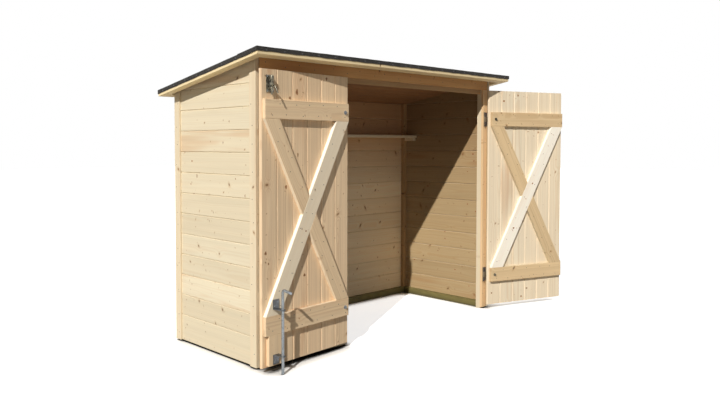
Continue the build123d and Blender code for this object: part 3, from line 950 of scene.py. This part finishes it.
def bar(start, run, radius, bend_centre, bend_angle, tail, sides):
    """Extrude a disc along run, spin it round a bend, and extrude the tail."""
    run = Vector(run)
    bpy.ops.object.select_all(action="DESELECT")
    bpy.ops.mesh.primitive_circle_add(
        vertices=sides, radius=radius, fill_type="NGON",
        location=start, rotation=run.to_track_quat("Z", "Y").to_euler(),
    )
    settle()
    made = bpy.context.object
    open_up(made)
    bpy.ops.mesh.select_mode(type="FACE")
    bpy.ops.mesh.select_all(action="SELECT")
    draw_out(run)
    bpy.ops.mesh.spin(steps=10, angle=bend_angle, center=bend_centre, axis=(1, 0, 0))
    draw_out(tail)
    bpy.ops.mesh.bevel(offset=radius * 0.3, segments=2, affect="EDGES")
    bpy.ops.mesh.select_all(action="SELECT")
    bpy.ops.mesh.remove_doubles(threshold=0.00001)
    face_outwards()
    close_up()
    bpy.ops.object.shade_smooth_by_angle(angle=round_angle)
    return made


print("bent bars ready")

# %% Drop bolt
rod_radius = 0.0075
rod_at, rod_out = 0.609, 0.097
rod_foot, rod_top, rod_turn = 0.002, 0.4355, 0.014
grip_reach, grip_fall = 0.063, 0.012
droop = math.atan2(grip_fall, grip_reach)
rod_arc = math.radians(90) + droop
bend_share = rod_turn * math.tan(rod_arc / 2)
rod_bend = rod_top - bend_share
rod_tail = math.hypot(grip_fall, grip_reach) - bend_share
drop_bolt = bar(
    (rod_at, rod_out, rod_foot), (0, 0, rod_bend - rod_foot), rod_radius,
    (rod_at, rod_out + rod_turn, rod_bend), rod_arc,
    (0, rod_tail * math.cos(droop), -rod_tail * math.sin(droop)), 20,
)
drop_bolt.name = "drop_bolt_bar"
dress(hang(drop_bolt, "left"), zinc, "galvanised_steel", "drop_bolt")

# %% Top bolt
bolt_at, bolt_out = 0.627, 0.039
bolt_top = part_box("top_bolt_plate")[1].z
bolt_radius, bolt_length = 0.0045, 0.100
handle_radius, handle_turn = 0.004, 0.010
handle_root = bolt_top - 0.055
handle_reach, handle_fall = 0.024, 0.040
lean = math.atan2(handle_fall, handle_reach)
bend_share = handle_turn * math.tan(lean / 2)
neck = 0.022 - bend_share
tail = math.hypot(handle_reach, handle_fall) - bend_share
handle = bar(
    (bolt_at, bolt_out, handle_root), (0, neck, 0), handle_radius,
    (bolt_at, bolt_out + neck, handle_root - handle_turn), lean,
    (0, tail * math.cos(lean), -tail * math.sin(lean)), 12,
)
bpy.ops.mesh.primitive_cylinder_add(
    vertices=20, radius=bolt_radius, depth=bolt_length,
    location=(bolt_at, bolt_out, bolt_top - bolt_length / 2),
)
barrel = bpy.context.object
ease_edges(barrel, 0.001)
bpy.ops.object.shade_smooth_by_angle(angle=round_angle)
top_bolt = hang(join([barrel, handle], "top_bolt_bar"), "left")
dress(top_bolt, black_zinc, "hinge_iron", "top_bolt")

# %% [markdown]
# ## Nails and screws
# Small round nails hold the ledges, braces, trims and header, and show as dark dots in rows.
# Hundreds of them could be painted into the wood, but then they would slide over joints and catch no light.
# One nail, one screw, one nut on its washer, one domed bolt head and one clout for the felt are modelled, and
# copies are set in place.

# %% Fasteners
def disc(radius, depth, sides, lift=0.0, dome=0.0, steps=2):
    """A short round stub that stands on z = 0, with its top edge rounded."""
    bpy.ops.object.select_all(action="DESELECT")
    bpy.ops.mesh.primitive_cylinder_add(
        vertices=sides, radius=radius, depth=depth, location=(0, 0, lift + depth / 2)
    )
    settle()
    made = bpy.context.object
    open_up(made)
    pick(made, "EDGE", lambda edge: min(v.co.z for v in edge.verts) > lift + depth * 0.99)
    bpy.ops.mesh.bevel(offset=dome or depth * 0.4, segments=steps, affect="EDGES")
    close_up()
    return made


nail = disc(0.0024, 0.0011, sides=10, dome=0.0007)
screw = disc(0.0042, 0.0018, sides=14, dome=0.0010)
open_up(screw)
pick(screw, "FACE", lambda face: face.normal.z > 0.99 and face.calc_center_median().z > 0.001)
bpy.ops.mesh.inset(thickness=0.0014)
draw_out((0, 0, -0.0011))
close_up()
bolt_head = disc(0.0095, 0.0045, sides=18, dome=0.0040, steps=4)
washer = disc(0.011, 0.0016, sides=18)
hexagon = disc(0.0075, 0.0065, sides=6, lift=0.0016, dome=0.0008)
thread_end = disc(0.0039, 0.0055, sides=12, lift=0.0081, dome=0.0008)
nut = join([washer, hexagon, thread_end], "nut")
clout = disc(0.0048, 0.0014, sides=12, dome=0.0008)
print("nail, screw, bolt head, nut and clout modelled")

# %% Setting copies
facing = {
    "up": (-roof_pitch, 0, 0),
    "front": (math.radians(90), 0, 0),
    "back": (math.radians(-90), 0, 0),
    "left": (0, math.radians(-90), 0),
    "right": (0, math.radians(90), 0),
}


def set_copies(master, spots, way):
    """Put a copy with its own mesh at every spot, facing one way, and join them."""
    copies = []
    for spot in spots:
        twin = bpy.data.objects.new("copy", master.data.copy())
        bpy.context.collection.objects.link(twin)
        twin.location = spot
        twin.rotation_euler = facing[way]
        copies.append(twin)
    return join(copies, "copies")


def fasten(name, finish, slot, body, *groups, side=None):
    """Join groups of copies into one piece of hardware on one body."""
    piece = join(list(groups), name)
    if side:
        hang(piece, side)
    dress(piece, finish, slot, body=body)


def wander(reach):
    """A small seeded slip, as of a hammer."""
    return draw.uniform(-reach, reach)


print("copies face", list(facing))

# %% Door nails
brace_rows = 13
brace_stagger = 0.026
half_seat = 0.052
ledge_margin = 0.020


def brace_spots(bottom_at, top_at, skip_middle):
    """Nails in two staggered rows along a brace."""
    spots = []
    foot = ledge_bottoms[0] + ledge_height
    rise = ledge_bottoms[1] - ledge_bottoms[0] - ledge_height
    for row in range(brace_rows):
        share = (row + 0.6) / (brace_rows + 0.2)
        if skip_middle and 0.38 < share < 0.62:
            continue
        at = bottom_at + (top_at - bottom_at) * share + (brace_stagger if row % 2 else -brace_stagger)
        spots.append((at + wander(0.004), foot + rise * share + wander(0.008)))
    return spots


low_end, high_end = ledge_free_end - half_seat, ledge_hinge_end + half_seat
for side in doors:
    sign = doors[side][0]
    spots = []
    for bottom in ledge_bottoms:
        low_row, high_row = bottom + ledge_margin, bottom + ledge_height - ledge_margin
        for row in range(door_rows):
            centre = door_edge + (row + 0.5) * door_board
            spots.append((centre + wander(0.012), low_row + wander(0.004)))
            if row < door_rows - 1:
                spots.append((centre + 0.056 + wander(0.012), high_row + wander(0.004)))
    spots += brace_spots(low_end, high_end, side == "right")
    spots += brace_spots(high_end, low_end, side == "left")
    nails = set_copies(nail, [(sign * at, ledge_face, height) for at, height in spots], "back")
    fasten(side + "_door_nails", nail_steel, "hinge_iron", side + "_door", nails, side=side)

# %% Door hardware
strap_bolt_at = 0.064
strap_holes = (0.13, 0.20, 0.275)
strap_face = door_outer - 0.003
# Painted glint: the same nuts are bright zinc on the left door and black zinc on the right
nut_finish = {"left": zinc, "right": black_zinc}
for side in doors:
    sign = doors[side][0]
    body = side + "_door"
    heads = [(sign * strap_bolt_at, strap_face, height) for height in hinge_heights]
    nuts = [(sign * strap_bolt_at, ledge_face, height) for height in hinge_heights]
    holes = [(sign * at, strap_face, height) for height in hinge_heights for at in strap_holes]
    fasten(
        side + "_strap_fixings", dark_iron, "hinge_iron", body,
        set_copies(bolt_head, heads, "front"), set_copies(screw, holes, "front"), side=side,
    )
    nuts = set_copies(nut, nuts, "back")
    fasten(side + "_strap_nuts", nut_finish[side], "hinge_iron", body, nuts, side=side)

bracket_middles = (0.356, 0.068)
bracket_spots = [
    (rod_at + across, ledge_face + 0.004, middle + up)
    for middle in bracket_middles for across, up in ((-0.013, 0.010), (0.013, -0.010))
]
plate_spots = [
    (bolt_at + across, door_inner + 0.003, bolt_top - 0.044 + up)
    for across in (-0.018, 0.018) for up in (-0.036, 0.036)
]
for name, spots in (("bracket_screws", bracket_spots), ("plate_screws", plate_spots)):
    fasten(name, zinc, "galvanised_steel", "left_door", set_copies(screw, spots, "back"), side="left")

# %% Frame nails and screws
front_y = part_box("front_panel")[0].y
wall_low, wall_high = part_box("left_wall")
header_low, header_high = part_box("header_board")
post_low, post_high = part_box("right_post_board")
trim_low, trim_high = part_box("left_wall_trims")
header_nails, header_margin = 18, 0.055
trim_middle = 0.027
back_nail_inset = 0.034
header_step = (header_high.x - header_low.x - 2 * header_margin) / (header_nails - 1)
front_spots = []
for step in range(header_nails):
    x = header_low.x + header_margin + step * header_step
    z = header_low.z + (0.022 if step % 2 else 0.040)
    front_spots.append((x + wander(0.02), front_y, z + wander(0.003)))
for step in range(6):
    z = post_low.z + 0.10 + step * 0.265
    front_spots.append(((post_low.x + post_high.x) / 2 + wander(0.010), front_y, z + wander(0.02)))
trim_spots = {"left": [], "right": []}
for way, x in (("left", trim_low.x), ("right", -trim_low.x)):
    for middle in (trim_low.y + trim_middle, trim_high.y - trim_middle):
        for row in range(12):
            z = wall_low.z + (row + 0.5) * board_cover + wander(0.03)
            if z < roof_underside(middle) - 0.03:
                trim_spots[way].append((x, middle + wander(0.012), z))
back_spots = []
for x in (wall_low.x + back_nail_inset, 0.0, -wall_low.x - back_nail_inset):
    for row in range(11):
        z = wall_low.z + (row + 0.5) * board_cover
        back_spots.append((x + wander(0.006), wall_high.y, z + wander(0.012)))
fasten(
    "shelter_nails", nail_steel, "hinge_iron", "shelter",
    set_copies(nail, front_spots, "front"), set_copies(nail, trim_spots["left"], "left"),
    set_copies(nail, trim_spots["right"], "right"), set_copies(nail, back_spots, "back"),
)
hinge_spots = []
for sign, pin_x, _ in doors.values():
    for height in hinge_heights:
        for up in (-0.036, 0.036):
            hinge_spots.append((pin_x - sign * 0.021, front_y - 0.003, height + up))
fasten("hinge_screws", dark_iron, "hinge_iron", "shelter", set_copies(screw, hinge_spots, "front"))

# %% Felt clouts
clout_margin = 0.06
clout_drop = 0.014
clout_slip = 0.002
long_clouts, side_clouts = 19, 8
long_step = (felt_high.x - felt_low.x - 2 * clout_margin) / (long_clouts - 1)
side_step = (felt_high.y - felt_low.y - 2 * clout_margin) / (side_clouts - 1)
lap_y = lap_back - 0.022
clouts = {"front": [], "back": [], "left": [], "right": [], "up": []}
for step in range(long_clouts):
    x = felt_low.x + clout_margin + step * long_step
    clouts["front"].append((x, felt_low.y, felt_top(felt_low.y) - clout_drop + wander(clout_slip)))
    clouts["back"].append((x, felt_high.y, felt_top(felt_high.y) - clout_drop + wander(clout_slip)))
    clouts["up"].append((x + wander(0.01), lap_y, felt_top(lap_y) + 0.0015))
for step in range(side_clouts):
    y = felt_low.y + clout_margin + step * side_step
    clouts["left"].append((felt_low.x, y, felt_top(y) - clout_drop + wander(clout_slip)))
    clouts["right"].append((felt_high.x, y, felt_top(y) - clout_drop + wander(clout_slip)))
fasten(
    "felt_clouts", clout_grey, "hinge_iron", "shelter",
    *[set_copies(clout, spots, way) for way, spots in clouts.items()],
)

# %% [markdown]
# ## Larger knots
# Besides the small knots in the finish, single boards show larger ones, dark in the middle and reddish at the
# rim. They could be drawn into the finish too, but each has a place of its own on one board. So each is an
# uneven oval, a hair thick, that is set flush in the face as a joiner sets a plug where a knot fell out.

# %% Knot finish
knot_wood, tree, shader = new_finish("knot_wood")
plug_place = carried(tree, "grain")
from_middle = length_of(tree, stretch(tree, plug_place, (1, 1, 0)))
redness = parts_of(tree, plug_place)["Z"]
rings = bands(tree, sum_of(tree, "MULTIPLY", from_middle, 9.0), 2.0)
rim = mix_colour(tree, redness, (0.36, 0.19, 0.085), (0.56, 0.26, 0.12))
colour = mix_colour(tree, share_between(tree, from_middle, 0.10, 0.75), (0.16, 0.075, 0.032), rim)
colour = mix_colour(tree, share_between(tree, rings, 0.35, 0.65, 0.0, 0.45), colour, (0.16, 0.085, 0.04))
colour = mix_colour(tree, share_between(tree, from_middle, 0.72, 1.0, 0.0, 0.75), colour, (0.62, 0.42, 0.24))
link_finish(tree, shader, colour, share_between(tree, rings, 0.3, 0.7, 0.45, 0.65), rings, 0.3, 0.0005)
shader.inputs["Specular IOR Level"].default_value = 0.3
print("knot finish ready")

# %% Knot plugs
plug_depth = 0.0012
plug_bulge = 0.14


def plug(place, half_sizes, way):
    """Model one uneven oval plug whose face lies at a place and looks one way."""
    bpy.ops.object.select_all(action="DESELECT")
    bpy.ops.mesh.primitive_circle_add(vertices=18, radius=1, fill_type="TRIFAN")
    made = bpy.context.object
    open_up(made)
    draw_out((0, 0, -plug_depth))
    face_outwards()
    close_up()
    turn, redness = draw.uniform(0, 6), draw.random()
    grain = []
    for vertex in made.data.vertices:
        grain += [vertex.co.x, vertex.co.y, redness]
        bulge = 1 + plug_bulge * math.sin(3 * math.atan2(vertex.co.y, vertex.co.x) + turn)
        vertex.co.x *= bulge
        vertex.co.y *= bulge
    made.data.attributes.new("grain", "FLOAT_VECTOR", "POINT").data.foreach_set("vector", grain)
    made.scale = (*half_sizes, 1)
    made.rotation_euler = facing[way]
    made.location = place
    settle()
    return made


def set_knots(name, slot, body, way, plane, spots, side=None):
    """Set plugs on one face; spots are the place across, the height, and half the width and height in mm."""
    plugs = []
    for across, height, half_width, half_height in spots:
        if way == "left":
            place, half_sizes = (plane, across, height), (half_height / 1000, half_width / 1000)
        else:
            place, half_sizes = (across, plane, height), (half_width / 1000, half_height / 1000)
        plugs.append(plug(place, half_sizes, way))
    piece = join(plugs, name)
    if side:
        hang(piece, side)
    dress(piece, knot_wood, slot, body=body)


print("plugs", plug_depth, "m deep")

# %% Knots in the doors
plug_proud = 0.0001
for side, part, face, spots in (
    ("left", "door", door_inner, [
        (0.430, 1.449, 9, 17), (0.482, 1.415, 7, 9), (0.198, 1.534, 8, 10), (0.512, 0.950, 8, 11),
        (0.658, 0.618, 8, 10), (0.638, 0.562, 5, 7), (0.374, 0.469, 9, 8), (0.423, 1.117, 4, 12),
    ]),
    ("left", "brace", ledge_face, [(0.385, 0.710, 6, 5), (0.415, 0.724, 3, 6)]),
    ("right", "door", door_inner, [
        (-0.150, 1.484, 9, 7), (-0.277, 1.527, 6, 9), (-0.544, 0.501, 6, 7), (-0.054, 0.110, 6, 6),
        (-0.323, 0.063, 6, 8), (-0.374, 0.118, 9, 5),
    ]),
    ("right", "brace", ledge_face, [(-0.400, 0.889, 6, 6), (-0.229, 0.571, 8, 6)]),
):
    set_knots(f"{side}_{part}_knots", "door_wood", side + "_door", "back", face + plug_proud, spots, side)

# %% Knots in the walls
left_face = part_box("left_wall")[0].x - plug_proud
right_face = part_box("right_wall")[0].x - board_slip - plug_proud
set_knots("left_wall_knots", "wall_wood", "shelter", "left", left_face, [
    (-0.139, 1.077, 8, 5), (-0.191, 0.992, 4, 12), (-0.127, 0.943, 5, 4), (-0.158, 0.889, 4, 3),
    (-0.452, 1.183, 3, 7), (-0.510, 1.297, 3, 6), (-0.567, 0.988, 3, 5), (-0.651, 0.901, 3, 9),
])
set_knots("right_wall_knots", "wall_wood", "shelter", "left", right_face, [
    (-0.640, 1.104, 12, 7), (-0.649, 1.054, 10, 6), (-0.593, 0.976, 6, 5), (-0.595, 0.737, 7, 6),
    (-0.666, 0.687, 6, 7), (-0.392, 0.516, 7, 6), (-0.393, 0.463, 7, 5), (-0.327, 0.364, 6, 4),
    (-0.097, 0.267, 11, 5), (-0.487, 0.239, 9, 5), (-0.614, 0.134, 6, 5), (-0.046, 1.103, 7, 7),
    (-0.227, 0.854, 16, 5),
])

# %% [markdown]
# ## Finishing
# The masters have done their work and go.

# %% Tidy up and finish
for master in (nail, screw, bolt_head, nut, clout):
    bpy.data.objects.remove(master)
bpy.ops.object.select_all(action="DESELECT")
